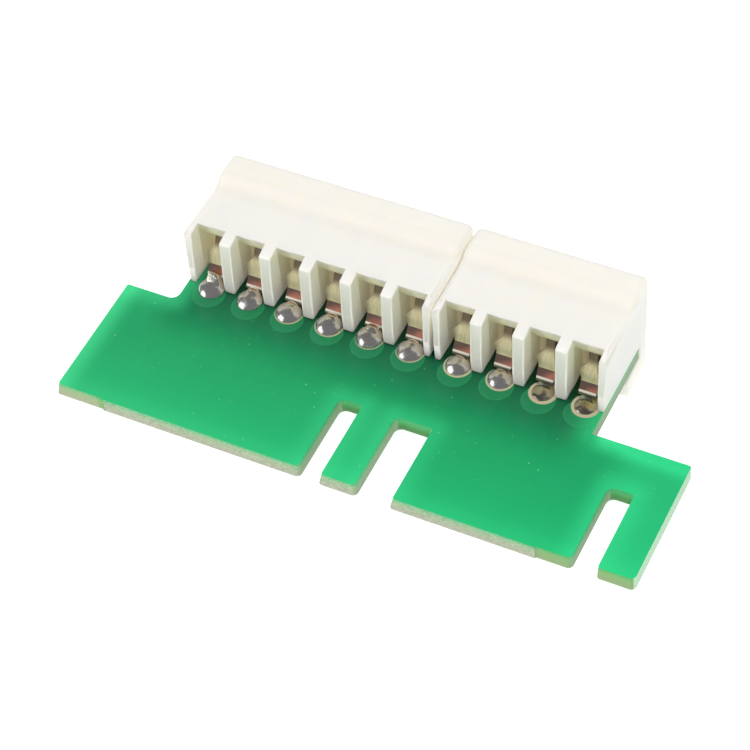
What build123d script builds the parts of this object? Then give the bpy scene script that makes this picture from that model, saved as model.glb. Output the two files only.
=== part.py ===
"""Card-edge adapter board for a water heater control, with two contact housings.

A small laminate board carries two card-edge tongues on its front edge.  A six-way and a
four-way moulded housing hook over its back edge.  Each way holds one formed contact, which
comes down through a plated hole, is soldered there, and is led by a track on the underside
to its own finger on a tongue.

Frame: X runs along the board from left to right, Y from the front edge to the housings'
back face, Z up.  The origin is the middle of the whole part's footprint, at its lowest level.
"""
import os
from math import atan2, cos, degrees, pi

from build123d import *

# ---------------------------------------------------------------- driving dimensions (mm)
# Contact grid
pitch = 3.96                    # between neighbouring ways, and between their fingers
first_way_from_end = 7.23       # left end of the board to the first way
housing_seam = 0.55             # extra step between the sixth way and the seventh

# Laminate.  Widths run from left to right along the front edge.
board_thickness = 1.6
six_tongue_width = 23.8
first_slot_width = 2.15
key_tongue_width = 3.2
second_slot_width = 3.5
four_tongue_width = 16.2
third_slot_width = 2.3
end_tongue_width = 3.25
slot_depth = 8.1
ear_depth = 12.7                # front edge to the back of the board's ears
neck_from_left = 5.0
neck_width = 40.35
slot_left_corner_radius = 0.7
slot_right_corner_radius = 0.25
tongue_left_corner_radius = 0.3
tongue_right_corner_radius = 0.5
ear_corner_radius = 0.2
neck_left_corner_radius = 0.8
neck_right_corner_radius = 0.2
left_wall_overhang = 0.42       # the tongues' left walls stand out by this at the underside
end_tongue_overhang = 0.15      # and the end tongue's by this
scored_edge_start = 4.4         # the front edge is snapped off a panel over this stretch
scored_edge_end = 45.65
scored_edge_proud = 0.12

# Plated holes and solder.  Each joint's solid takes in the hole's plating and its two lands.
hole_from_front = 15.35
hole_radius = 0.8
solder_radius = 1.22
solder_height = 1.0
solder_height_steps = (0.3, 0.05, 0.03, 0, 0.2, 0.1, 0, -0.05, -0.15, -0.17)
solder_brow_radius = 1.02       # the dome's outline turns in here
solder_crown_radius = 0.5
lower_solder_radius = 1.45
lower_solder_height = 0.85
lower_solder_tip_radius = 0.6
solder_sides = 12               # flats round each joint

# Tracks and fingers on the underside
foil = 0.05
finger_width = 2.6
finger_length = 6.4
finger_from_edge = 0.6
first_finger_from_side = 2.1    # left side of a tongue to its first finger's middle
track_width = 1.3
track_jog_margin = 1.5          # straight run at each end of a track's slanted stretch

# Housings, measured from the board's front edge (depths) and top face (heights)
foot_from_front = 15.13
face_setback = 0.40             # the divider fronts stand back by this much at their tops
face_top_height = 5.95
face_round = 0.12
witness_height = 1.8            # a fine ledge where two halves of the mould met
witness_ledge = 0.06
roof_from_front = 16.91
roof_height = 6.28
roof_thickness = 0.95
ridge_depth = 2.25              # the ridge along the back, its rise and the step up to it
ridge_rise = 0.7
step_run = 2.1
ridge_round = 0.95
back_from_front = 25.25
wall_behind_board = 1.95
board_end_clearance = 0.1
hook_depth = 4.84
hook_thickness = 2.32
hook_lead_in = 0.4
hook_clearance = 0.04
bay_half_width_foot = 1.46
bay_half_width_roof = 1.39
bay_under_roof = 1.69           # the bays run in under the roof by this much
end_wall_margin = 0.04          # each end stands this far past its half pitch at the foot
end_wall_flare = 0.17           # and this much more at the ridge
end_round = 0.7

# Chambers and mouths
chamber_width = 2.5
chamber_floor = 1.2
chamber_height = 3.8
mouth_wall = 1.25
mouth_width = 1.9
mouth_height = 2.4
mouth_above_floor = 0.75
mouth_lead_in = 0.3

# Contacts.  Depths are measured back from the hole's axis, heights from the board's top.
strip = 0.28
contact_offset = 0.12           # the contacts stand a little right of their bays' middles
box_clearance = 0.12
box_from_bay = 0.3
blade_width = 1.6
blade_bottom = 0.5
tail_width = 1.0
tail_behind_axis = 0.15
tail_below = 1.1
tail_bend_height = 0.1
crease_behind_axis = 0.6
crease_height = 0.65
crease_drop = 0.2
blade_bend_behind_axis = 1.2
blade_bend_height = 1.45
shoulder_behind_axis = 1.5
shoulder_height = 2.6
shoulder_half_width = 0.98      # left of the middle, where the contact bulges
shoulder_foot_height = 1.9
neck_half_width = 0.36
neck_height = 3.5
neck_reach = 0.6                # the neck stands out of the bay's back by this much
spring_width = 1.3
spring_rise = 1.2
spring_tip_rise = 0.6
spring_end_margin = 0.5

# ---------------------------------------------------------------- what follows from them
board_length = (six_tongue_width + first_slot_width + key_tongue_width + second_slot_width
                + four_tongue_width + third_slot_width + end_tongue_width)
board_bottom = hook_thickness + hook_clearance
board_top = board_bottom + board_thickness
origin_x = (board_length - left_wall_overhang) / 2
origin_y = back_from_front / 2
board_slot_end = back_from_front - wall_behind_board
hook_from_front = back_from_front - hook_depth
step_from_front = back_from_front - ridge_depth - step_run
bay_back_from_front = roof_from_front + bay_under_roof
chamber_end = back_from_front - mouth_wall
mouth_floor = chamber_floor + mouth_above_floor
box_width = chamber_width - 2 * (box_clearance + contact_offset)
box_bottom = chamber_floor + box_clearance
box_top = chamber_floor + chamber_height - box_clearance
box_front = bay_back_from_front + box_from_bay
box_back = chamber_end - box_clearance

ways_six = [first_way_from_end + pitch * k for k in range(6)]
ways_four = [ways_six[-1] + pitch + housing_seam + pitch * k for k in range(4)]
way_positions = ways_six + ways_four

four_tongue_left = six_tongue_width + first_slot_width + key_tongue_width + second_slot_width
finger_positions = ([first_finger_from_side + pitch * k for k in range(6)]
                    + [four_tongue_left + first_finger_from_side + pitch * k for k in range(4)])


def px(along):
    """X of a place measured along the board from its left end."""
    return along - origin_x


def py(depth):
    """Y of a place measured back from the board's front edge."""
    return depth - origin_y


def pz(height):
    """Z of a place measured up from the board's top face."""
    return board_top + height


def save(part, label):
    """Label a finished piece and write it as a STEP file of the same name."""
    part.label = label
    export_step(part, f"parts/{label}.step")
    size = part.bounding_box().size
    print(f"{label}: {size.X:.2f} x {size.Y:.2f} x {size.Z:.2f} mm, {part.volume:.3f} mm3")


def slot_outlines():
    """Left side and width of each keying slot."""
    first = six_tongue_width
    second = first + first_slot_width + key_tongue_width
    third = second + second_slot_width + four_tongue_width
    return [(first, first_slot_width), (second, second_slot_width), (third, third_slot_width)]


# ---------------------------------------------------------------- the laminate
def make_board():
    """One routed sheet: ears and tongues in front, the neck under the housings behind."""
    neck_end = board_slot_end - board_end_clearance
    with BuildPart() as circuit_board:
        with BuildSketch(Plane.XY.offset(board_bottom)):
            with Locations((px(0), py(scored_edge_proud))):
                Rectangle(board_length, ear_depth - scored_edge_proud, align=(Align.MIN, Align.MIN))
            with Locations((px(scored_edge_start), py(0))):
                Rectangle(scored_edge_end - scored_edge_start, ear_depth / 2,
                          align=(Align.MIN, Align.MIN))
            with Locations((px(neck_from_left), py(ear_depth / 2))):
                Rectangle(neck_width, neck_end - ear_depth / 2, align=(Align.MIN, Align.MIN))
            for left, width in slot_outlines():
                with Locations((px(left), py(0))):
                    Rectangle(width, slot_depth, align=(Align.MIN, Align.MIN), mode=Mode.SUBTRACT)
            with Locations(*[(px(x), py(hole_from_front)) for x in contact_positions()]):
                Circle(hole_radius, mode=Mode.SUBTRACT)
        extrude(amount=board_thickness)
        tongue_lefts = [0] + [left + width for left, width in slot_outlines()]
        overhangs = [left_wall_overhang] * 3 + [end_tongue_overhang]
        for left, overhang in zip(tongue_lefts, overhangs):
            left_wall = min(circuit_board.faces().filter_by(Axis.X),
                            key=lambda face: abs(face.center().X - px(left)))
            draft([left_wall], neutral_plane=Plane.XY.offset(board_top),
                  angle=degrees(atan2(overhang, board_thickness)))
        for radius, corners in board_corners():
            upright = [edge for edge in circuit_board.edges()
                       if edge.bounding_box().size.Z > 0.99 * board_thickness]
            fillet([nearest_edge(upright, *corner) for corner in corners], radius=radius)
    save(circuit_board.part, "circuit_board")
    return circuit_board.part


def board_corners():
    """Each radius of the routed outline, with the corners that carry it."""
    slots = slot_outlines()
    neck_right = neck_from_left + neck_width
    return [(slot_left_corner_radius, [(left, slot_depth) for left, _ in slots]),
            (slot_right_corner_radius, [(left + width, slot_depth) for left, width in slots]),
            (tongue_left_corner_radius, [(0, 0)] + [(left + width, 0) for left, width in slots]),
            (tongue_right_corner_radius, [(left, 0) for left, _ in slots] + [(board_length, 0)]),
            (ear_corner_radius, [(0, ear_depth), (board_length, ear_depth)]),
            (neck_left_corner_radius, [(neck_from_left, ear_depth)]),
            (neck_right_corner_radius, [(neck_right, ear_depth)])]


def nearest_edge(edges, along, depth):
    """The upright edge that stands nearest a place on the board."""
    place = Vector(px(along), py(depth), board_bottom + board_thickness / 2)
    return min(edges, key=lambda edge: (edge.center() - place).length)


def contact_positions():
    """Distance of each contact from the board's left end."""
    return [x + contact_offset for x in way_positions]


# ---------------------------------------------------------------- tracks
def make_track(number, hole_along, finger_along):
    """A finger on the tongue's underside and the track that leads back to the soldered hole."""
    finger_back = finger_from_edge + finger_length
    jog_start = finger_back + track_jog_margin
    jog_end = hole_from_front - track_jog_margin
    with BuildPart() as track:
        with BuildSketch(Plane.XY.offset(board_bottom - foil)):
            with Locations((px(finger_along), py(finger_from_edge + finger_length / 2))):
                Rectangle(finger_width, finger_length)
            with BuildLine():
                Polyline((px(finger_along), py(finger_back)),
                         (px(finger_along), py(jog_start)),
                         (px(hole_along), py(jog_end)),
                         (px(hole_along), py(hole_from_front)))
            trace(line_width=track_width)
            with Locations((px(hole_along), py(hole_from_front))):
                Circle(lower_solder_radius, mode=Mode.SUBTRACT)
        extrude(amount=foil)
    save(track.part, f"track_{number}")
    return track.part


# ---------------------------------------------------------------- housings
def housing_side_profile():
    """The moulding's outline seen from its end, drawn in the YZ plane."""
    step_angle = 2 * degrees(atan2(ridge_rise, step_run))
    step_radius = (step_run ** 2 + ridge_rise ** 2) / (4 * ridge_rise)
    ledge_y = foot_from_front + face_setback * witness_height / face_top_height
    slot_floor = -board_thickness - hook_clearance
    lead_in_run = (board_slot_end - hook_from_front) / 2
    with BuildSketch(Plane.YZ) as profile:
        with BuildLine():
            Polyline((py(board_slot_end), pz(0)),
                     (py(foot_from_front), pz(0)),
                     (py(ledge_y - witness_ledge), pz(witness_height)),
                     (py(ledge_y), pz(witness_height)),
                     (py(foot_from_front + face_setback), pz(face_top_height)),
                     (py(roof_from_front), pz(roof_height)),
                     (py(step_from_front), pz(roof_height)))
            rise = JernArc(start=(py(step_from_front), pz(roof_height)), tangent=(1, 0),
                           radius=step_radius, arc_size=step_angle)
            crest = JernArc(start=rise @ 1, tangent=rise % 1, radius=step_radius,
                            arc_size=-step_angle)
            Polyline(crest @ 1,
                     (py(back_from_front), pz(roof_height + ridge_rise)),
                     (py(back_from_front), pz(slot_floor - hook_thickness)),
                     (py(hook_from_front), pz(slot_floor - hook_thickness)),
                     (py(hook_from_front), pz(slot_floor - hook_lead_in)),
                     (py(hook_from_front + lead_in_run), pz(slot_floor)),
                     (py(board_slot_end), pz(slot_floor)),
                     (py(board_slot_end), pz(0)))
        make_face()
        for depth, height, radius in (
                (back_from_front, roof_height + ridge_rise, ridge_round),
                (foot_from_front + face_setback, face_top_height, face_round)):
            corner = Vector(py(depth), pz(height), 0)       # in the sketch's own plane
            fillet(profile.vertices().sort_by_distance(corner)[0], radius=radius)
    return profile.sketch


def make_housing(label, ways):
    """One moulding: stepped roof, comb of dividers in front, mouths behind, hook below."""
    middle = px((ways[0] + ways[-1]) / 2)
    bays = [px(x) - middle for x in ways]
    half_foot = (ways[-1] - ways[0] + pitch) / 2 + end_wall_margin
    half_ridge = half_foot + end_wall_flare
    ridge = roof_height + ridge_rise
    slot_floor = -board_thickness - hook_clearance
    front_view = Plane(origin=(middle, 0, board_top), x_dir=(1, 0, 0), z_dir=(0, -1, 0))
    with BuildPart() as housing:
        # the side profile run along the full width, then trimmed to the end walls' flare
        add(extrude(housing_side_profile(), amount=half_ridge, both=True, mode=Mode.PRIVATE)
            .moved(Location((middle, 0, 0))))
        with BuildSketch(front_view):
            Polygon((-half_foot, slot_floor - hook_thickness), (half_foot, slot_floor - hook_thickness),
                    (half_foot, 0), (half_ridge, ridge), (-half_ridge, ridge), (-half_foot, 0),
                    align=None)
        extrude(amount=back_from_front, both=True, mode=Mode.INTERSECT)
        # the ends of the roof and of the ridge are rounded, as a moulding is never sharp
        by_side = housing.faces().sort_by(Axis.X)
        roof_ends = [edge for face in (by_side[0], by_side[-1]) for edge in face.edges()
                     if edge.center().Z > pz(roof_height - end_round)
                     and edge.center().Y > py(roof_from_front)]
        fillet(roof_ends, radius=end_round)
        # open bays between the dividers, and the part of each bay that runs in under the roof
        roof_underside = roof_height - roof_thickness
        for reach, top in ((roof_from_front, ridge), (bay_back_from_front, roof_underside)):
            with BuildSketch(front_view.offset(-py(reach))):
                with Locations(*[(x, 0) for x in bays]):
                    Polygon((-bay_half_width_foot, slot_floor), (bay_half_width_foot, slot_floor),
                            (bay_half_width_roof, top), (-bay_half_width_roof, top), align=None)
            extrude(amount=reach - foot_from_front + pitch, mode=Mode.SUBTRACT)
        # chambers from the bays back, and the smaller mouths through the back wall
        with BuildSketch(front_view.offset(-py(chamber_end))):
            with Locations(*[(x, chamber_floor) for x in bays]):
                Rectangle(chamber_width, chamber_height, align=(Align.CENTER, Align.MIN))
        extrude(amount=chamber_end - bay_back_from_front, mode=Mode.SUBTRACT)
        with BuildSketch(front_view.offset(-py(back_from_front))):
            with Locations(*[(x, mouth_floor) for x in bays]):
                Rectangle(mouth_width, mouth_height, align=(Align.CENTER, Align.MIN))
        extrude(amount=mouth_wall, mode=Mode.SUBTRACT)
        back_face = housing.faces().sort_by(Axis.Y)[-1]
        chamfer(back_face.inner_wires().edges(), length=mouth_lead_in)
    save(housing.part, label)
    return housing.part


# ---------------------------------------------------------------- contacts and solder
def contact_path():
    """Front face of the strip, from the box's roof down to the tail, in the YZ plane."""
    tail = hole_from_front + tail_behind_axis
    crease = hole_from_front + crease_behind_axis
    return [(py(box_front + strip), pz(box_top)),
            (py(bay_back_from_front - neck_reach), pz(box_top)),
            (py(hole_from_front + shoulder_behind_axis), pz(shoulder_height)),
            (py(hole_from_front + blade_bend_behind_axis), pz(blade_bend_height)),
            (py(crease), pz(crease_height)),
            (py(crease), pz(crease_height - crease_drop)),
            (py(tail), pz(tail_bend_height)),
            (py(tail), pz(-board_thickness - tail_below))]


def strip_outline(path, thickness):
    """Outline of a bent strip: the path is one face, the other lies to its left."""
    corners = [Vector(*point) for point in path]
    runs = [(b - a).normalized() for a, b in zip(corners, corners[1:])]
    lefts = [Vector(-run.Y, run.X) for run in runs]
    far_side = []
    for corner, before, after in zip(corners, lefts[:1] + lefts, lefts + lefts[-1:]):
        miter = before + after
        far_side.append(corner + miter * (2 * thickness / miter.dot(miter)))
    return [(point.X, point.Y) for point in corners + far_side[::-1]]


def make_contact(number, along):
    """A stamped strip: box and spring in the chamber, shouldered blade and tail in the bay."""
    front_view = Plane(origin=(px(along), 0, board_top), x_dir=(1, 0, 0), z_dir=(0, -1, 0))
    with BuildPart() as contact:
        with BuildSketch(Plane.YZ.offset(px(along))):
            with BuildLine():
                Polyline(*strip_outline(contact_path(), strip), close=True)
            make_face()
        extrude(amount=box_width / 2, both=True)
        with BuildSketch(front_view):
            with BuildLine():
                low = -board_thickness - tail_below - strip
                high = box_top + strip
                Polyline((-blade_width / 2, shoulder_foot_height),
                         (-blade_width / 2, blade_bottom),
                         (-tail_width / 2, blade_bottom), (-tail_width / 2, low),
                         (tail_width / 2, low), (tail_width / 2, blade_bottom),
                         (blade_width / 2, blade_bottom),
                         (blade_width / 2, shoulder_foot_height),
                         (neck_half_width, neck_height), (neck_half_width, box_top - strip),
                         (box_width / 2, box_top - strip), (box_width / 2, high),
                         (-box_width / 2, high), (-box_width / 2, box_top - strip),
                         (-neck_half_width, box_top - strip), (-neck_half_width, neck_height))
                Spline((-neck_half_width, neck_height),
                       (-shoulder_half_width, (neck_height + shoulder_foot_height) / 2),
                       (-blade_width / 2, shoulder_foot_height),
                       tangents=((-0.3, -1), (0.4, -1)))
            make_face()
        extrude(amount=back_from_front, both=True, mode=Mode.INTERSECT)
        # the box that grips a pin, open at both ends
        with BuildSketch(front_view.offset(-py(box_front))):
            with Locations((0, box_bottom)):
                Rectangle(box_width, box_top - box_bottom, align=(Align.CENTER, Align.MIN))
            with Locations((0, box_bottom + strip)):
                Rectangle(box_width - 2 * strip, box_top - box_bottom - 2 * strip,
                          align=(Align.CENTER, Align.MIN), mode=Mode.SUBTRACT)
        extrude(amount=box_front - box_back)
        # its spring, folded in from the floor at the mouth end
        with BuildSketch(Plane.YZ.offset(px(along))):
            with BuildLine():
                crown = (2 * box_back + box_front) / 3
                spring = [(py(box_front + spring_end_margin), pz(box_bottom + spring_tip_rise)),
                          (py(crown), pz(box_bottom + spring_rise)),
                          (py(box_back - spring_end_margin), pz(box_bottom + strip / 3))]
                Polyline(*strip_outline(spring, strip), close=True)
            make_face()
        extrude(amount=spring_width / 2, both=True)
    save(contact.part, f"contact_{number}")
    return contact.part


def make_solder_joint(number, along, height, contact):
    """A dome on top, the filled hole, and a cone round the tail below, all one solid."""
    centre = (px(along), py(hole_from_front))
    # each stage: its starting height, its direction, its length and its radii at the two ends
    stages = [(board_top, 1, height / 2, solder_radius, solder_brow_radius),
              (board_top + height / 2, 1, height / 2, solder_brow_radius, solder_crown_radius),
              (board_bottom, -1, lower_solder_height, lower_solder_radius,
               lower_solder_tip_radius)]
    flat_share = cos(pi / solder_sides)
    with BuildPart() as solder_joint:
        with BuildSketch(Plane(origin=(*centre, board_bottom))):
            Circle(hole_radius)
        extrude(amount=board_thickness)
        for start, way, length, first_radius, last_radius in stages:
            with BuildSketch(Plane(origin=(*centre, start), z_dir=(0, 0, way))):
                RegularPolygon(first_radius, side_count=solder_sides)
            lean = atan2((first_radius - last_radius) * flat_share, length)
            extrude(amount=length, taper=degrees(lean))
        add(contact, mode=Mode.SUBTRACT)
    save(solder_joint.part, f"solder_joint_{number}")
    return solder_joint.part


def main():
    """Build and write every piece."""
    os.makedirs("parts", exist_ok=True)
    make_board()
    make_housing("six_way_housing", ways_six)
    make_housing("four_way_housing", ways_four)
    for index, along in enumerate(contact_positions()):
        number = index + 1
        contact = make_contact(number, along)
        make_solder_joint(number, along, solder_height + solder_height_steps[index], contact)
        make_track(number, along, finger_positions[index])


main()
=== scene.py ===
# %% [markdown]
# # A card-edge adapter board, dressed for a studio shot
#
# The real part is a small green laminate board.  Two comb-shaped nylon mouldings hook over
# its back edge, and each of their ten bays holds a bright stamped contact that is soldered
# into the board.  The CAD model already gives every shape and place, so this file loads it as
# a fixed frame.  It then gives each piece the rounded edges, the uneven solder and the
# finishes that make it look like a real one.  All lengths are in metres, and `MM` turns
# millimetres into metres.

from collections import namedtuple
from functools import reduce
from math import cos, pi, radians, sin

import bmesh
import bpy
from mathutils import Matrix, Vector, noise


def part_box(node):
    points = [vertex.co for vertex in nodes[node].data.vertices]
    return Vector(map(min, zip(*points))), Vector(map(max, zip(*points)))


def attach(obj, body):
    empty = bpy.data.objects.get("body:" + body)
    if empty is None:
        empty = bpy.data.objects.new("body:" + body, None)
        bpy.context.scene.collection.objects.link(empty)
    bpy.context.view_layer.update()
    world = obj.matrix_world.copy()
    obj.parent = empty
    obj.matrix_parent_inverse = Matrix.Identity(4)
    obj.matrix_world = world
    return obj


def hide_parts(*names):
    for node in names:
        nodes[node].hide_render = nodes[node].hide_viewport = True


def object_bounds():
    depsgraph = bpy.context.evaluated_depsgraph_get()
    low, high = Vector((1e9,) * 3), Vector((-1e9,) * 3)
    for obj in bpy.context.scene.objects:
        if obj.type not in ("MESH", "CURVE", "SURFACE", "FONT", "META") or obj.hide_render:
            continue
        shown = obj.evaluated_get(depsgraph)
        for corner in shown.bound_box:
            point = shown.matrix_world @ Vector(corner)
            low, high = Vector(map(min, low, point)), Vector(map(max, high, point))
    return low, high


MM = 0.001

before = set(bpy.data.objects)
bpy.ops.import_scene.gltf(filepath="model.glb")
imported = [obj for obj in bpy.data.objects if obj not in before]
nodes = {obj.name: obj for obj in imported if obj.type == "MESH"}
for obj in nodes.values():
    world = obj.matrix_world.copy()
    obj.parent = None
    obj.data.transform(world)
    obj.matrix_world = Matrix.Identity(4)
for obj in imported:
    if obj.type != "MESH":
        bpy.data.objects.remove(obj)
cad_low, cad_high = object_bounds()
box_centre = (cad_low + cad_high) / 2
print("CAD box, mm:", [round(v / MM, 2) for v in cad_high - cad_low])

# %% [markdown]
# ## Where things are
#
# Every place in this file is taken from the boxes of the CAD pieces, so nothing has to be
# fitted by eye.  The laminate's top face, its front edge and the ten solder joints are the
# ones used most, so they get names here.

# %% Places read from the frame
board_low, board_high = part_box("circuit_board")
board_top, board_bottom = board_high.z, board_low.z
board_front, board_left = board_low.y, board_low.x
CONTACTS = [f"contact_{n}" for n in range(1, 11)]
JOINTS = [f"solder_joint_{n}" for n in range(1, 11)]
TRACKS = [f"track_{n}" for n in range(1, 11)]


def middle_of(node):
    """The middle of a CAD piece's box."""
    low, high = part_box(node)
    return (low + high) / 2


holes = [middle_of(name) for name in JOINTS]
hole_y = holes[0].y
housing_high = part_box("six_way_housing")[1]
ROOF_TOP = (board_top / MM) + 6.28
# No two hand-made joints are alike.  For each, in millimetres: its radius, its height, how far
# it climbs the tail, how far it sits right of and in front of its hole, and how far out its
# bare land shows
Bead = namedtuple("Bead", "radius height climb beside before land")
BEADS = [Bead(*sizes) for sizes in (
    (1.28, 0.82, 0.85, 0.05, 0.26, 0), (1.25, 0.88, 0.25, -0.05, 0.27, 0),
    (1.25, 0.82, 0.15, -0.06, 0.24, 1.31), (1.25, 0.88, 0.20, -0.03, 0.20, 1.33),
    (1.28, 1.00, 0.30, -0.02, 0.18, 1.31), (1.25, 0.82, 0.15, 0.00, 0.16, 1.31),
    (1.15, 0.75, 0.12, 0.06, 0.12, 1.31), (1.15, 0.72, 0.10, 0.12, 0.12, 1.30),
    (0.98, 0.36, 0.05, 0.15, 0.08, 1.28), (0.98, 0.36, 0.05, 0.16, 0.05, 1.28))]
print("pitch, mm:", round((holes[1].x - holes[0].x) / MM, 3),
      "first hole at", round(holes[0].x / MM, 3))

# %% [markdown]
# ## The camera
#
# A product shot of a part this small is taken from well back with a long lens, so that its
# edges stay nearly parallel.  The camera is placed by an azimuth, an elevation and a slight
# roll about the point it aims at, which lies close to the middle of the part.

# %% Camera
AZIMUTH, ELEVATION, ROLL = radians(31.138), radians(50.018), radians(-6.838)
DISTANCE = 224.887 * MM
aim = box_centre + Vector((-1.164, -1.665, -0.690)) * MM
towards = Vector((-sin(AZIMUTH) * cos(ELEVATION), cos(AZIMUTH) * cos(ELEVATION), -sin(ELEVATION)))
level_right = towards.cross(Vector((0, 0, 1))).normalized()
level_up = level_right.cross(towards)
right = cos(ROLL) * level_right + sin(ROLL) * level_up
up = cos(ROLL) * level_up - sin(ROLL) * level_right

camera_data = bpy.data.cameras.new("camera")
camera_data.sensor_width = 36
camera_data.lens = 124.764
camera_data.clip_start, camera_data.clip_end = 0.01, 10
camera = bpy.data.objects.new("camera", camera_data)
camera.matrix_world = Matrix((right, up, -towards)).transposed().to_4x4()
camera.location = aim - towards * DISTANCE
bpy.context.scene.collection.objects.link(camera)
bpy.context.scene.camera = camera
print("camera at, mm:", [round(v / MM, 1) for v in camera.location])

# %% [markdown]
# ## Writing shader maths as sums
#
# A procedural finish is a network of small nodes.  Wiring them one by one hides what they
# work out, so this class wraps a socket and lets Python's own operators add the Math nodes:
# `1 - mask` makes a Subtract node.  One method, `make`, creates every other kind of node.

# %% A socket that can be used in sums
class Wire:
    """A socket of a material's nodes.  Sums on it add Math nodes to the same material."""

    def __init__(self, tree, socket=None):
        self.tree, self.socket = tree, socket

    def make(self, kind, settings=None, inputs=None, output=0):
        """Adds a node: its settings first, then values or links for its sockets."""
        node = self.tree.nodes.new(kind)
        for name, value in (settings or {}).items():
            if name == "stops":
                ramp = node.color_ramp
                ramp.elements.remove(ramp.elements[1])
                for index, (place, colour) in enumerate(value):
                    stop = ramp.elements[0] if index == 0 else ramp.elements.new(place)
                    stop.position, stop.color = place, (*colour, 1)
            else:
                setattr(node, name, value)
        for key, value in (inputs or {}).items():
            if isinstance(value, Wire):
                self.tree.links.new(value.socket, node.inputs[key])
            else:
                node.inputs[key].default_value = value
        return Wire(self.tree, node.outputs[output])

    def calculate(self, operation, *values):
        """A Math node."""
        return self.make("ShaderNodeMath", {"operation": operation}, dict(enumerate(values)))

    def __add__(self, other):
        return self.calculate("ADD", self, other)

    def __sub__(self, other):
        return self.calculate("SUBTRACT", self, other)

    def __mul__(self, other):
        return self.calculate("MULTIPLY", self, other)

    def __truediv__(self, other):
        return self.calculate("DIVIDE", self, other)

    def __pow__(self, other):
        return self.calculate("POWER", self, other)

    def __radd__(self, other):
        return self.calculate("ADD", other, self)

    def __rsub__(self, other):
        return self.calculate("SUBTRACT", other, self)

    def __rmul__(self, other):
        return self.calculate("MULTIPLY", other, self)

    def __abs__(self):
        return self.calculate("ABSOLUTE", self)

    def least(self, other):
        """The smaller of two values."""
        return self.calculate("MINIMUM", self, other)

    def most(self, other):
        """The larger of two values."""
        return self.calculate("MAXIMUM", self, other)

    def rise(self, start, end):
        """Smoothly 0 to 1 as this value goes from start to end, whichever is the larger."""
        return self.make("ShaderNodeMapRange", {"interpolation_type": "SMOOTHSTEP"},
                         {"Value": self, "From Min": start, "From Max": end})

    def band(self, low, high, soft):
        """1 between low and high, falling to 0 over soft outside them."""
        return self.rise(low - soft, low) * self.rise(high + soft, high)


print("Wire class ready")

# %% [markdown]
# ## Helpers for finishes
#
# Colours can't go through a Math node, because that turns them grey, so `blend` uses a Mix
# node.  Patterns are measured on the object in millimetres, so their scale is the real one.

# %% Helpers for finishes
def blend(first, second, factor):
    """The second colour over the first, by a factor."""
    wire = next(value for value in (factor, first, second) if isinstance(value, Wire))
    return wire.make("ShaderNodeMix", {"data_type": "RGBA"},
                     {0: factor, 6: rgba(first), 7: rgba(second)}, output=2)


def rgba(colour):
    """A plain colour with its alpha; a wire is left as it is."""
    return colour if isinstance(colour, Wire) else (*colour, 1)


def start_finish(name):
    """A new material with its shader, and a wire to build the rest with."""
    material = bpy.data.materials.new(name)
    material.use_nodes = True
    shader = material.node_tree.nodes["Principled BSDF"]
    return material, shader, Wire(material.node_tree)


def feed(shader, name, value):
    """Sets a shader socket, or links a wire to it."""
    if isinstance(value, Wire):
        value.tree.links.new(value.socket, shader.inputs[name])
    else:
        shader.inputs[name].default_value = value


def place_in_mm(wire):
    """The point's x, y and z on the object, in millimetres."""
    coordinates = wire.make("ShaderNodeTexCoord", output="Object")
    in_mm = wire.make("ShaderNodeVectorMath", {"operation": "SCALE"},
                      {0: coordinates, "Scale": 1 / MM})
    return in_mm, [wire.make("ShaderNodeSeparateXYZ", None, {0: in_mm}, output=k)
                   for k in range(3)]


def grain(place, scale, detail=2.0, stretch=None):
    """Noise from 0 to 1 whose lumps are about one unit in `scale` per millimetre."""
    if stretch:
        place = place.make("ShaderNodeVectorMath", {"operation": "MULTIPLY"},
                           {0: place, 1: stretch})
    return place.make("ShaderNodeTexNoise", None,
                      {"Vector": place, "Scale": scale, "Detail": detail})


def bump(height, distance_mm):
    """Turns a height from 0 to 1 into a surface normal; the distance is the full height."""
    return height.make("ShaderNodeBump", None,
                       {"Height": height, "Strength": 1.0, "Distance": distance_mm * MM})


def strongest(masks):
    """The largest of several masks at each point."""
    return reduce(Wire.most, masks)


def box_distance(x, y, low, high):
    """Distance in the XY plane from a rectangle, 0 inside it."""
    across = (low[0] - x).most(x - high[0]).most(0)
    along = (low[1] - y).most(y - high[1]).most(0)
    return (across * across + along * along) ** 0.5


print("finish helpers ready")

# %% [markdown]
# ## Nylon mouldings
#
# The housings are off-white nylon.  It is slightly warm, it shines softly, and light goes a
# little way into it, which keeps its shadows pale.  The light that passes right through into
# the bays could be traced, but that is slow and noisy, so it is painted as a warm tint and a
# faint glow.  A little unevenness and a very fine bump stop the large flat roof from looking
# like paper.

# %% Finish of the mouldings
nylon, shader, wire = start_finish("ivory_nylon")
place, (x, y, z) = place_in_mm(wire)
cloud = grain(place, 0.25, 3.0)
plain = blend((0.915, 0.885, 0.80), (0.945, 0.92, 0.845), cloud)
# painted light and shade: inside the bays the moulding is tinted warmer and darker, for light
# reaching it through more nylon
in_bay = strongest(abs(x - hole.x / MM).rise(1.62, 1.42) for hole in holes)
back_wall = (y - housing_high.y / MM).rise(-1.25, -1.6)
below_roof = (z - ROOF_TOP).rise(-0.05, -0.7) * (z - board_top / MM).rise(-0.1, 0.1)
painted_bay_light = (y - hole_y / MM).rise(-0.6, 2.6) * in_bay * below_roof * back_wall
# painted shade: the step up to the ridge is a touch darker, as it faces forward, away from the
# light above
step_shade = (y - board_front / MM).band(21.5, 22.3, 1.2) * (z - ROOF_TOP).rise(-0.2, 0.05)
plain = blend(plain, (0.86, 0.838, 0.765), step_shade)
feed(shader, "Base Color", blend(plain, (0.89, 0.81, 0.58), painted_bay_light * 0.9))
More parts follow.
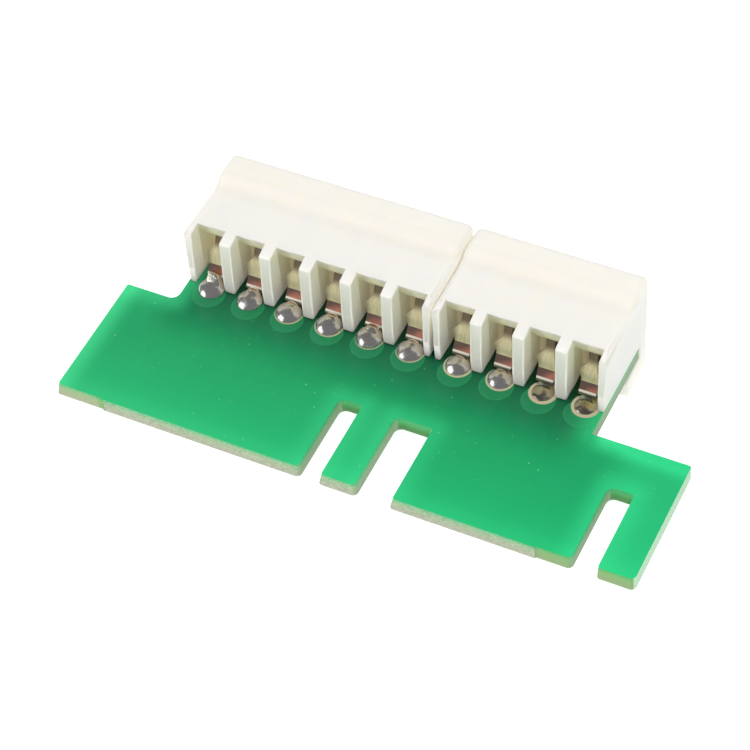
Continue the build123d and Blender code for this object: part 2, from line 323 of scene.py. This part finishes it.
# painted glow: the bays and the narrow seam between the two mouldings give off a little light,
# standing in for light that passes through the nylon
seam_x = (housing_high.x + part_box("four_way_housing")[0].x) / 2 / MM
seam_glow = abs(x - seam_x).rise(0.26, 0.12) * (z - board_top / MM).rise(1.0, 4.5)
painted_glow = blend((0, 0, 0), (0.14, 0.125, 0.075), painted_bay_light)
feed(shader, "Emission Color", blend(painted_glow, (0.085, 0.078, 0.060), seam_glow))
shader.inputs["Emission Strength"].default_value = 1.0
feed(shader, "Roughness", 0.36 + 0.10 * grain(place, 1.1, 3.0))
feed(shader, "Normal", bump(grain(place, 14.0, 3.0), 0.006))
shader.inputs["IOR"].default_value = 1.5
shader.inputs["Subsurface Weight"].default_value = 0.5
shader.inputs["Subsurface Radius"].default_value = (2.6, 2.1, 1.3)
shader.inputs["Subsurface Scale"].default_value = MM
print("material:", nylon.name)

# %% [markdown]
# ## Laminate and solder mask
#
# The board is glass-fibre laminate under a glossy green mask.  Light that enters the cut
# edges shows through the laminate, so the green is brighter within 2.6 mm of the edges and
# slots.  The pads under the board show through as faint paler discs in front of the joints.
# All of that could be painted on an image, but here it is worked out from distances to the
# board's own edges, so it stays sharp from close by.  The cut walls have no mask: they are
# pale, yellowish laminate, rough where the board was snapped from its panel.

# %% The board's outline, in millimetres from its left end and its front edge
LEFT_OVERHANG = 0.42  # the left wall leans out by this at the underside, and the box takes it in
left, front = board_left / MM + LEFT_OVERHANG, board_front / MM
SLOTS = [(23.8, 25.95), (29.15, 32.65), (48.85, 51.15)]
SLOT_DEPTH, EAR_DEPTH = 8.1, 12.7
NECK_LEFT, NECK_RIGHT, BOARD_LENGTH = 5.0, 45.35, 54.4
FAR = 99  # well past the board
top, thickness = board_top / MM, (board_top - board_bottom) / MM
print("board's left end and front edge, mm:", round(left, 3), round(front, 3))


# %% Helpers for the board's finish
GLOW_REACH = 2.6


def edge_glow(distance):
    """How much light from a cut edge shows at a distance from it, in millimetres."""
    return distance.rise(GLOW_REACH, 0.0) ** 1.5


def ramp(value, stops):
    """A colour that follows a value from 0 to 1."""
    return value.make("ShaderNodeValToRGB", {"stops": stops}, {0: value})


def tint(colour, factors):
    """A colour times another, channel by channel."""
    return colour.make("ShaderNodeVectorMath", {"operation": "MULTIPLY"}, {0: colour, 1: factors})


print("light from a cut edge reaches", GLOW_REACH, "mm")

# %% The green mask
laminate, shader, wire = start_finish("green_masked_laminate")
place, (x, y, z) = place_in_mm(wire)
across, depth = x - left, y - front
cloud = grain(place, 0.22, 3.0)
weave = grain(place, 1.6, 2.0, (1.0, 0.35, 1.0))
# painted shade: the open board is a little darker towards the back, and a painted shadow darkens
# it in front of the housings
open_board = ramp(depth / 16, [(0.05, (0.022, 0.475, 0.165)), (0.25, (0.020, 0.41, 0.145)),
                               (0.5, (0.018, 0.355, 0.128)), (1.0, (0.018, 0.335, 0.120))])
shaded_board = ramp(depth / 16, [(0.05, (0.022, 0.475, 0.165)), (0.25, (0.020, 0.41, 0.145)),
                                 (0.5, (0.018, 0.350, 0.124)), (0.625, (0.014, 0.280, 0.100)),
                                 (0.78, (0.007, 0.165, 0.062)), (0.92, (0.003, 0.100, 0.040)),
                                 (0.98, (0.001, 0.035, 0.012))])
mask = blend(open_board, shaded_board, across.band(6.0, 42.5, 3.5))
# painted light: the green is brighter near the cut edges, standing in for light that enters them,
# most of all in the narrow tongues and the right ear
painted_glow = 0.27 * edge_glow(depth) + 0.85 * edge_glow(across)
for slot_left, slot_right in SLOTS:
    slot = box_distance(across, depth, (slot_left, -5), (slot_right, SLOT_DEPTH))
    painted_glow = painted_glow + 0.35 * edge_glow(slot)
behind_left_ear = box_distance(across, depth, (-FAR, EAR_DEPTH), (NECK_LEFT, FAR))
painted_glow = painted_glow + 0.5 * edge_glow(behind_left_ear)
ear_back = edge_glow(box_distance(across, depth, (NECK_RIGHT, EAR_DEPTH), (FAR, FAR)))
painted_glow = painted_glow + ear_back * (0.3 + 0.7 * across.rise(45.3, 46.8))
painted_glow = painted_glow + 0.45 * across.rise(46.5, 51.0)
painted_glow = painted_glow + 0.18 * across.band(26.3, 28.8, 1.2) * depth.rise(11.0, 5.0)
mask = blend(mask, (0.050, 0.67, 0.255), painted_glow.least(1))
mask = blend(mask, (0.04, 0.50, 0.19), weave.rise(0.56, 0.75) * 0.06)
mask = tint(mask, blend((1.15, 1.0, 1.04), (0.65, 1.0, 1.0), across / BOARD_LENGTH))
mask = tint(mask, blend((0.94, 0.95, 0.94), (1.06, 1.05, 1.06), cloud))
print("mask colour:", len(laminate.node_tree.nodes), "nodes so far")

# %% What lies on the mask and what shows through it
# a few specks of dust
dust = grain(place, 3.4, 0.0).rise(0.86, 0.89)
mask = blend(mask, (0.25, 0.62, 0.38), dust * 0.6)
# the pads under the board show through as pale discs, each with a thin brighter rim
PAD_RIGHT, PAD_BEFORE = 0.12, 1.0  # where a pad's middle is, from its hole
pads = []
for hole in holes:
    dx, dy = x - (hole.x / MM + PAD_RIGHT), y - (hole.y / MM - PAD_BEFORE)
    away = (dx * dx + dy * dy) ** 0.5
    pads.append(away.rise(1.56, 1.44) * 0.26 + away.band(1.45, 1.49, 0.09) * 0.16)
mask = blend(mask, (0.035, 0.370, 0.145), strongest(pads))
# the bare land that shows round a joint, whose edge is this soft either way
LAND_EDGE = 0.03
lands = []
for hole, bead in zip(holes, BEADS):
    if bead.land:
        dx, dy = x - (hole.x / MM + bead.beside + 0.03), y - (hole.y / MM - bead.before - 0.02)
        lands.append((dx * dx + dy * dy).rise((bead.land + LAND_EDGE) ** 2,
                                              (bead.land - LAND_EDGE) ** 2))
mask = blend(mask, (0.44, 0.40, 0.27), strongest(lands))
print(len(pads), "pads show through and", len(lands), "lands show round their joints")

# %% The cut walls
# green just under the mask, then pale laminate with its glass layers
normal = wire.make("ShaderNodeNewGeometry", output="Normal")
upright = abs(wire.make("ShaderNodeSeparateXYZ", None, {0: normal}, output=2))
forward = wire.make("ShaderNodeSeparateXYZ", None, {0: normal}, output=1)
cut = upright.rise(0.75, 0.5)
below = (top - z) / thickness
pale = ramp(below, [(0.0, (0.10, 0.50, 0.20)), (0.09, (0.20, 0.51, 0.27)),
                    (0.28, (0.335, 0.515, 0.31)), (0.5, (0.395, 0.50, 0.335)),
                    (0.75, (0.42, 0.46, 0.35)), (1.0, (0.45, 0.48, 0.38))])
olive = ramp(below, [(0.0, (0.06, 0.55, 0.22)), (0.28, (0.12, 0.57, 0.21)),
                     (0.5, (0.10, 0.45, 0.14)), (0.75, (0.10, 0.29, 0.10)),
                     (1.0, (0.13, 0.30, 0.12))])
fronts = forward.rise(-0.6, -0.8)
front_edge = fronts * depth.rise(0.5, 0.3)
wall = blend(blend(pale, olive, 0.3), olive, fronts)
# painted light: the board's right end is much lighter, where more light falls on it
wall = blend(wall, (0.55, 0.82, 0.58), across.rise(53.9, 54.2) * 0.9)
# the front edge: clean at its left end, greener at its right, rough where it was snapped
edge_tint = blend((0.89, 0.96, 0.80), (1.0, 1.0, 1.0), across.rise(3.9, 4.0))
edge_tint = blend(edge_tint, (0.60, 0.90, 0.52), across.band(3.95, 4.55, 0.12) * 0.9)
edge_tint = blend(edge_tint, (0.66, 0.90, 0.56), across.rise(45.6, 45.8))
wall = blend(wall, tint(pale, edge_tint), front_edge)
fibres = grain(place, 3.6, 6.0, (1.0, 1.0, 1.6))
snapped = front_edge * across.band(4.4, 45.65, 0.1)
fibre_tint = blend((0.80, 0.84, 0.80), (1.16, 1.13, 1.16), fibres.rise(0.3, 0.7))
wall = tint(wall, blend((1.0, 1.0, 1.0), fibre_tint, snapped))
print("wall colour:", len(laminate.node_tree.nodes), "nodes so far")

# %% The board's shine and unevenness
feed(shader, "Base Color", blend(mask, wall, cut))
feed(shader, "Roughness", 0.18 + 0.05 * cloud + 0.45 * cut)
ripple = grain(place, 0.55, 2.0) * 0.6 + weave * 0.4
height = ripple * (1 - cut) * 0.15 + fibres * cut * (0.2 + 0.6 * snapped)
feed(shader, "Normal", bump(height, 0.06))
shader.inputs["Coat Roughness"].default_value = 0.06
feed(shader, "Coat Weight", 0.1 * (1 - cut))
shader.inputs["Specular IOR Level"].default_value = 0.2
print("material:", laminate.name)

# %% [markdown]
# ## Tin and solder
#
# The contacts are tinned brass, so they are pale, very slightly warm metal.  The solder is
# cooler and smoother.  Both get faint smears in roughness, because perfectly even metal looks
# like chrome plastic.  Some of what they reflect is painted into their colours as well: painted
# reflections of the housings and of the warm surroundings, a painted highlight on each bend,
# and painted shade where the contacts run in under the roof.

# %% Finish of the contacts
tinned, shader, wire = start_finish("tinned_strip")
place, (x, y, z) = place_in_mm(wire)
streaks = grain(place, 2.2, 4.0, (2.4, 1.0, 0.35))
lift = z - top
# how far right of its own bay's middle a point is
offsets = [x - hole.x / MM for hole in holes]
bay_across = sum(offset * abs(offset).rise(1.9, 1.8) for offset in offsets)
# the blade's cream is tin, partly tinted by a painted reflection of the cream housing; above the
# bend a painted reflection of the warm surroundings makes a red-brown band, and the bend has a
# painted highlight
blade = blend((0.63, 0.56, 0.35), (0.80, 0.73, 0.49), streaks.rise(0.2, 0.8))
# painted shade: each blade is darker along its left edge, where it curves round
blade = blend((0.42, 0.36, 0.22), blade, bay_across.rise(-0.95, -0.35))
# the painted reflection in the band is dark at its upper left and redder at its lower right
redness = (grain(place, 0.5, 2.0) + bay_across * 0.45 + (1.27 - lift) * 0.9).rise(0.3, 1.0)
band_reflection = blend((0.155, 0.095, 0.080), (0.54, 0.21, 0.15), redness)
in_band = lift.band(0.95, 1.58, 0.05)
on_bend = lift.band(0.79, 0.89, 0.05)
below = lift.rise(0.80, 0.70)
tone = blend(blade, band_reflection, in_band)
# painted shade: the contact is dark brown where it rises in under the roof
tone = blend(tone, (0.15, 0.105, 0.07), lift.rise(3.0, 3.8) * 0.9)
# painted shade and reflection: below the bend the tail is dark greenish grey, in the blade's
# shade and reflecting the green board
tone = blend(tone, (0.24, 0.26, 0.20), below)
# the painted highlight on the bend
tone = blend(tone, (0.90, 0.86, 0.76), on_bend)
feed(shader, "Base Color", tone)
feed(shader, "Metallic", 0.25 + 0.6 * below + 0.2 * streaks)
feed(shader, "Roughness", 0.30 + 0.14 * streaks)
feed(shader, "Normal", bump(streaks, 0.004))
print("material:", tinned.name)

# %% Finish of the solder
solder, shader, wire = start_finish("bright_solder")
place, (x, y, z) = place_in_mm(wire)
smear = grain(place, 1.6, 3.0)
lumps = grain(place, 0.8, 2.0)
# a painted reflection of the warm housing makes it warmer near its top, and the last two joints
# are duller
painted_housing_reflection = (z - top).rise(0.55, 0.95)
tone = blend((0.78, 0.74, 0.73), (0.94, 0.91, 0.90), smear)
tone = blend(tone, (0.80, 0.74, 0.60), painted_housing_reflection * 0.6)
dull = x.rise(holes[7].x / MM + 1.5, holes[7].x / MM + 2.5)
tone = blend(tone, blend((0.30, 0.25, 0.19), (0.62, 0.58, 0.46), lumps.rise(0.35, 0.6)), dull)
feed(shader, "Base Color", tone)
feed(shader, "Metallic", 1.0)
feed(shader, "Roughness", 0.15 + 0.15 * smear)
feed(shader, "Normal", bump(lumps, 0.13))
print("material:", solder.name)

# %% Finish of the tracks
# a finger is bare tin as far as the mask's edge, and the track behind it is under the mask
track_finish, shader, wire = start_finish("track_under_mask")
place, (x, y, z) = place_in_mm(wire)
smear = grain(place, 1.2, 3.0)
bare = (y - front).rise(7.2, 7.1)
tin = blend((0.62, 0.60, 0.55), (0.78, 0.76, 0.70), smear)
feed(shader, "Base Color", blend((0.040, 0.420, 0.165), tin, bare))
feed(shader, "Metallic", bare)
feed(shader, "Roughness", 0.2 + 0.12 * smear)
feed(shader, "Normal", bump(smear, 0.01))
print("material:", track_finish.name)

# %% [markdown]
# ## Rounded copies of the CAD pieces
#
# Moulded, routed and stamped pieces never have sharp edges, and the thin bright line that a
# rounded edge catches is what makes them look real.  A CAD mesh is loose triangles, so a copy
# is welded first, its flat faces are joined up again, and then its sharp edges are bevelled.

# %% Helpers for rounded copies
WELD_DISTANCE = 0.002 * MM
FLAT_ANGLE, SHARP_ANGLE = radians(0.5), radians(30)


def join_flats(work):
    """Welds points that meet and joins triangles that lie in one plane."""
    bmesh.ops.remove_doubles(work, verts=work.verts[:], dist=WELD_DISTANCE)
    bmesh.ops.dissolve_limit(work, angle_limit=FLAT_ANGLE, verts=work.verts[:],
                             edges=work.edges[:])


def welded_copy(node):
    """The CAD piece's mesh, welded, with its flat faces joined up."""
    work = bmesh.new()
    work.from_mesh(nodes[node].data)
    join_flats(work)
    return work


def round_edges(work, width_mm, wanted, segments=2, clamp=False):
    """Bevels the sharp edges that a rule wants."""
    sharp = [edge for edge in work.edges
             if edge.calc_face_angle(0) > SHARP_ANGLE and wanted(edge)]
    bmesh.ops.bevel(work, geom=sharp, affect="EDGES", offset=width_mm * MM, segments=segments,
                    profile=0.5, material=-1, clamp_overlap=clamp)
    return len(sharp)


def finish_piece(work, name, finish, slot, *stands_for):
    """Makes a mesh into a shown piece that rides on the body."""
    mesh = bpy.data.meshes.new(name)
    work.to_mesh(mesh)
    work.free()
    piece = bpy.data.objects.new(name, mesh)
    bpy.context.scene.collection.objects.link(piece)
    flat = piece.modifiers.new("flat faces stay flat", "WEIGHTED_NORMAL")
    flat.weight = 100
    mesh.shade_smooth()
    mesh.materials.append(finish)
    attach(piece, "root")
    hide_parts(*stands_for)
    print(name, "has", len(mesh.polygons), "faces")


print("helpers for rounded copies ready")

# %% [markdown]
# ## The two mouldings
#
# Each housing is a single moulding with a comb of bays.  It could be modelled again from
# nothing, but the CAD piece already has every bay and chamber in its place, so a copy of it is
# softened instead.  Not every edge is rounded: in the bays and at the mouths a bevel would run
# into its neighbours and tear the surface.

# %% Where the mouldings' features lie
MOULD_ROUND = 0.17  # millimetres, as all the widths of rounded edges are
WITNESS = board_top + 1.8 * MM  # the fine ledge where the mould's halves met
LEDGE_FRONT = board_front + 15.25 * MM  # the dividers' fronts at that height
TOP_CORNER = (board_front + 15.53 * MM, board_top + 5.95 * MM)  # the top of their fronts
ROOF_EDGE = board_front + 16.91 * MM  # the bays run in under the roof here
MOUTH_TOP, MOUTH_HALF, LEAD_IN = board_top + 5 * MM, 1.3 * MM, 0.35 * MM
CAD_RIDGE_ROUND, RIDGE_ROUND = 0.95 * MM, 0.36 * MM
HAIR = 0.01 * MM  # places closer than this are the same place
print("ridge round, mm:", CAD_RIDGE_ROUND / MM, "becomes", RIDGE_ROUND / MM)


# %% Mouldings
def is_corner(edge):
    """An outward corner, apart from the ledge, the bays under the roof and the mouths."""
    middle = (edge.verts[0].co + edge.verts[1].co) / 2
    on_ledge = all(abs(vert.co.z - WITNESS) < HAIR for vert in edge.verts)
    in_bay = ROOF_EDGE - 0.02 * MM < middle.y < ROOF_EDGE + 1.75 * MM and middle.z > board_top
    # the mouths already have their own lead-in
    at_mouth = (middle.y > housing_high.y - LEAD_IN and board_top < middle.z < MOUTH_TOP
                and min(abs(middle.x - hole.x) for hole in holes) < MOUTH_HALF)
    return (edge.is_manifold and edge.is_convex and edge.calc_length() > 0.25 * MM
            and not on_ledge and not in_bay and not at_mouth)


def tighten_ridge(work):
    """Redraws the round along the ridge's back corner with a smaller radius."""
    wide, back, crest = CAD_RIDGE_ROUND, housing_high.y, housing_high.z
    for vert in work.verts:
        out = Vector((vert.co.y - (back - wide), vert.co.z - (crest - wide)))
        if min(out) >= -1e-6 and out.length > 0.2 * MM:
            # a point of the end round lies further in, and has to stay that much further in
            inset = max(wide - out.length, 0)
            reach = max(RIDGE_ROUND, inset + 0.05 * MM)
            out = out.normalized() * (reach - inset)
            vert.co.y, vert.co.z = back - reach + out.x, crest - reach + out.y


for way in ("six_way", "four_way"):
    work = welded_copy(f"{way}_housing")
    tighten_ridge(work)
    for vert in work.verts:
        # the small round on each divider's top corner is made again, wider
        if Vector((vert.co.y - TOP_CORNER[0], vert.co.z - TOP_CORNER[1])).length < 0.12 * MM:
            vert.co.y, vert.co.z = TOP_CORNER
        # and three quarters of the ledge is worn away
        if abs(vert.co.z - WITNESS) < HAIR and vert.co.y < LEDGE_FRONT + 0.1 * MM:
            vert.co.y += (LEDGE_FRONT - vert.co.y) * 0.75
    join_flats(work)
    print(way, "rounded edges", round_edges(work, MOULD_ROUND, is_corner, 3))
    finish_piece(work, f"{way}_moulding", nylon, "housing", f"{way}_housing")

# %% [markdown]
# ## Board, contacts and tracks
#
# The router and the press tool leave edges that are only just broken, so every sharp edge of
# the board and the contacts gets the same fine round.  A bevel modifier could do it, but the
# flat faces have to be joined up first, so it is done on the mesh.  The tracks are thin copper
# under the board, which is seldom seen, so they stay as they are and only get a finish.

# %% Board, contacts and tracks
FINE_ROUND = 0.05


def finely_rounded(node):
    """A welded copy of a CAD piece with all its sharp edges broken a little."""
    work = welded_copy(node)
    round_edges(work, FINE_ROUND, lambda edge: True, clamp=True)
    return work


finish_piece(finely_rounded("circuit_board"), "laminate_board", laminate, "laminate",
             "circuit_board")
for name in CONTACTS:
    shown_name = name.replace("contact", "tinned_contact")
    finish_piece(finely_rounded(name), shown_name, tinned, "contact", name)
for name in TRACKS:
    nodes[name].data.materials.clear()
    nodes[name].data.materials.append(track_finish)
print(len(TRACKS), "tracks keep their CAD shapes")

# %% [markdown]
# ## Solder
#
# Hand-fed solder never makes the same shape twice.  Each joint could be sculpted, but ten of
# them from one recipe are quicker and can be changed together.  Each is spun from a short
# outline, from the pointed cone under the board, up through the hole, to the dome, and its
# points are then pushed about a little by smooth noise.

# %% The outline of a joint
# the dome, as shares of its radius and of its height
DOME = [(1.0, 0.0), (0.985, 0.08), (0.95, 0.2), (0.89, 0.34), (0.81, 0.48), (0.71, 0.61),
        (0.60, 0.72), (0.48, 0.82), (0.36, 0.90), (0.24, 0.95), (0.12, 0.99), (0.0, 1.0)]
# the cone, as millimetres outwards and shares of its depth
CONE = [(0.0, 1.0), (0.25, 0.995), (0.45, 0.96), (0.60, 0.88), (0.75, 0.72), (0.90, 0.52),
        (1.05, 0.35), (1.20, 0.2), (1.33, 0.08), (1.43, 0.01)]
HOLE_RADIUS = 0.80
SPIN_STEPS = 48
print("a joint's outline has", len(CONE) + 2 + len(DOME), "points")

# %% Solder joints
UNEVEN, LUMPS_PER_MM = 0.16, 0.9  # how far noise pushes, as a share of the radius; its scale
# in millimetres: how far the dome sags, the tail's middle from the hole's, half the tail's
# width, and how far out from the tail the solder starts to climb
SLUMP, TAIL_RIGHT, TAIL_BEHIND, TAIL_HALF, CLIMB_REACH = 0.12, 0.12, 0.15, 0.45, 0.5


def solder_bead(number, node, sizes):
    """One joint: a spun outline from the cone below, up the hole, to the dome; made uneven."""
    centre = middle_of(node)
    drop = board_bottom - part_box(node)[0].z
    outline = [(out * MM, board_bottom - down * drop) for out, down in CONE]
    outline += [(HOLE_RADIUS * MM, board_bottom), (HOLE_RADIUS * MM, board_top)]
    outline += [(out * sizes.radius * MM, board_top + lift * sizes.height * MM)
                for out, lift in DOME]
    work = bmesh.new()
    chain = [work.verts.new((centre.x + out, centre.y, height)) for out, height in outline]
    for first, second in zip(chain, chain[1:]):
        work.edges.new((first, second))
    bmesh.ops.spin(work, geom=work.verts[:] + work.edges[:], cent=centre, axis=(0, 0, 1),
                   angle=2 * pi, steps=SPIN_STEPS, use_merge=True, use_duplicate=False)
    bmesh.ops.remove_doubles(work, verts=work.verts[:], dist=0.001 * MM)
    bmesh.ops.recalc_face_normals(work, faces=work.faces[:])
    tail = Vector((centre.x + TAIL_RIGHT * MM, centre.y + TAIL_BEHIND * MM, 0))
    shift = Vector((sizes.beside, -sizes.before, 0)) * MM
    for vert in work.verts:
        if vert.co.z > board_top + HAIR:
            outward = Vector((vert.co.x - centre.x, vert.co.y - centre.y, 0))
            # each joint reads the noise in a place of its own
            push = noise.noise((vert.co / MM) * LUMPS_PER_MM + Vector((0, 0, number * 7.3)))
            share = (vert.co.z - board_top) / (sizes.height * MM)
            vert.co += outward * push * UNEVEN * share + shift * (1 - 0.4 * share)
            # the solder climbs the tail, which is behind it and is wider than it is deep
            off_side = max(abs(vert.co.x - tail.x) / MM - TAIL_HALF, 0)
            in_front = max((tail.y - vert.co.y) / MM, 0)
            off_tail = (off_side ** 2 + in_front ** 2) ** 0.5
            climb = max(0.0, 1 - off_tail / CLIMB_REACH) ** 2
            vert.co.z += climb * sizes.climb * MM - abs(push) * SLUMP * MM * share
        elif vert.co.z > board_top - HAIR and (vert.co - centre).xy.length > 0.9 * MM:
            # the dome's rim on the board moves with it, and the hole's doesn't
            vert.co += shift
    mesh = bpy.data.meshes.new(f"solder_bead_{number}")
    work.to_mesh(mesh)
    work.free()
    mesh.shade_smooth()
    mesh.materials.append(solder)
    bead = bpy.data.objects.new(mesh.name, mesh)
    bpy.context.scene.collection.objects.link(bead)
    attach(bead, "root")
    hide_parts(node)
    return len(mesh.polygons)


for number, (node, sizes) in enumerate(zip(JOINTS, BEADS), 1):
    faces = solder_bead(number, node, sizes)
print("ten solder joints,", faces, "faces each")

# %% [markdown]
# ## Floor and light
#
# The part lies on a plain pale sweep.  It could be lit until it is almost white, but then the
# part would be too bright, so the sweep gives off some light of its own instead.  A big soft
# light overhead gives the tops their brightness.  A warm one in front and one from the front
# left keep the fronts of the dividers clear, and the dim surroundings give the metal something
# dark to reflect.

# %% Floor
FLOOR_SIZE = 1.5
floor_finish, shader, _ = start_finish("pale_sweep")
feed(shader, "Base Color", (0.45, 0.45, 0.45, 1))
feed(shader, "Roughness", 0.9)
shader.inputs["Specular IOR Level"].default_value = 0.1
shader.inputs["Emission Color"].default_value = (1, 1, 1, 1)
shader.inputs["Emission Strength"].default_value = 0.93
work = bmesh.new()
bmesh.ops.create_grid(work, x_segments=1, y_segments=1, size=FLOOR_SIZE)
mesh = bpy.data.meshes.new("floor")
work.to_mesh(mesh)
work.free()
mesh.materials.append(floor_finish)
floor = bpy.data.objects.new("floor", mesh)
floor.location.z = cad_low.z
bpy.context.scene.collection.objects.link(floor)
print("floor at z", round(cad_low.z / MM, 3), "mm")


# %% Lights
def soft_light(name, azimuth, elevation, away, size, power, colour=(1, 1, 1), glossy=True):
    """A square soft light that points at the part's middle."""
    data = bpy.data.lights.new(name, "AREA")
    data.size, data.energy, data.color = size, power, colour
    lamp = bpy.data.objects.new(name, data)
    a, e = radians(azimuth), radians(elevation)
    back = Vector((sin(a) * cos(e), -cos(a) * cos(e), sin(e)))
    lamp.location = box_centre + back * away
    lamp.rotation_mode = "QUATERNION"
    lamp.rotation_quaternion = (-back).to_track_quat("-Z", "Y")
    lamp.visible_glossy = glossy
    bpy.context.scene.collection.objects.link(lamp)


soft_light("overhead", 60, 77, 0.6, 0.35, 3.15, glossy=False)
soft_light("front_fill", -15, 22, 0.6, 0.5, 0.7, (1.0, 0.70, 0.66), glossy=False)
soft_light("front_left", -48, 20, 0.6, 0.40, 0.72)

world = bpy.data.worlds.new("studio")
bpy.context.scene.world = world
world.use_nodes = True
background = world.node_tree.nodes["Background"]
background.inputs["Color"].default_value = (0.98, 0.98, 1.0, 1)
background.inputs["Strength"].default_value = 0.18
bpy.context.scene.view_settings.view_transform = "Standard"
print("three soft lights")
